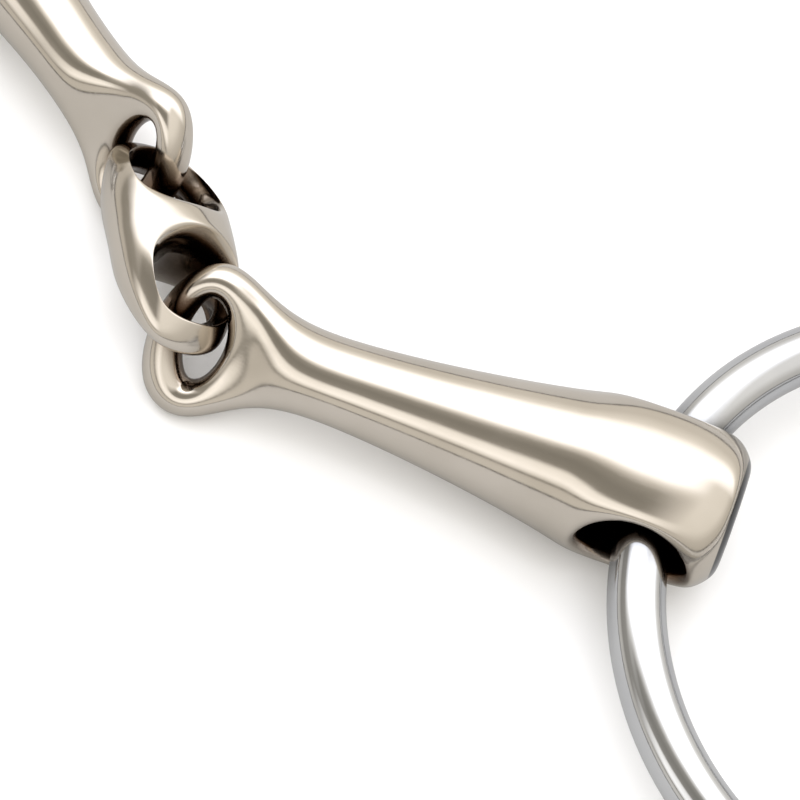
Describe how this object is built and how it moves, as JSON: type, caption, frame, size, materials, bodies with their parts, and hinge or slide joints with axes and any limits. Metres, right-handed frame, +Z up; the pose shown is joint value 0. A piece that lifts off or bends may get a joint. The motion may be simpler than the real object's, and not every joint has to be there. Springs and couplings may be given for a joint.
{
  "type": "snaffle bit",
  "caption": "Loose-ring snaffle bit for a horse's bridle, with a double-jointed mouthpiece of two tapered barrels and a centre link between two round rings.",
  "frame": {"origin": "middle of the bounding box of the bit as it lies, on the surface it lies on", "axes": "+X from the left ring to the right ring along the length of the bit, +Z up from the surface, +Y to the side on which the right ring lies further out"},
  "size_m": [0.2698, 0.0862, 0.0217],
  "materials": {
    "warm_steel": "mirror-polished warm silver-beige alloy",
    "ring_steel": "mirror-polished stainless steel"
  },
  "bodies": {
    "centre_link": {"centre_link": "warm_steel"},
    "left_cannon": {"left_cannon": "warm_steel"},
    "right_cannon": {"right_cannon": "warm_steel"},
    "left_ring": {"left_ring": "ring_steel"},
    "right_ring": {"right_ring": "ring_steel"}
  },
  "joints": [
    {"name": "right_eye_swing", "type": "hinge", "parent": "centre_link", "child": "right_cannon", "pos_m": [0.01291, -0.0332, 0.01012], "axis": [0.501, 0.6253, -0.5983], "range_deg": [-1, 55]},
    {"name": "left_eye_swing", "type": "hinge", "parent": "centre_link", "child": "left_cannon", "pos_m": [-0.00719, -0.01962, 0.00749], "axis": [0.501, 0.6253, -0.5983], "range_deg": [-25, 35]},
    {"name": "right_ring_swing", "type": "hinge", "parent": "right_cannon", "child": "right_ring", "pos_m": [0.0627, -0.00838, 0.01077], "axis": [-0.3502, 0.9367, 0], "range_deg": [-50, 120]},
    {"name": "left_ring_swing", "type": "hinge", "parent": "left_cannon", "child": "left_ring", "pos_m": [-0.0605, -0.00977, 0.0109], "axis": [-0.1406, -0.9715, -0.1908], "range_deg": [-30, 120]}
  ]
}
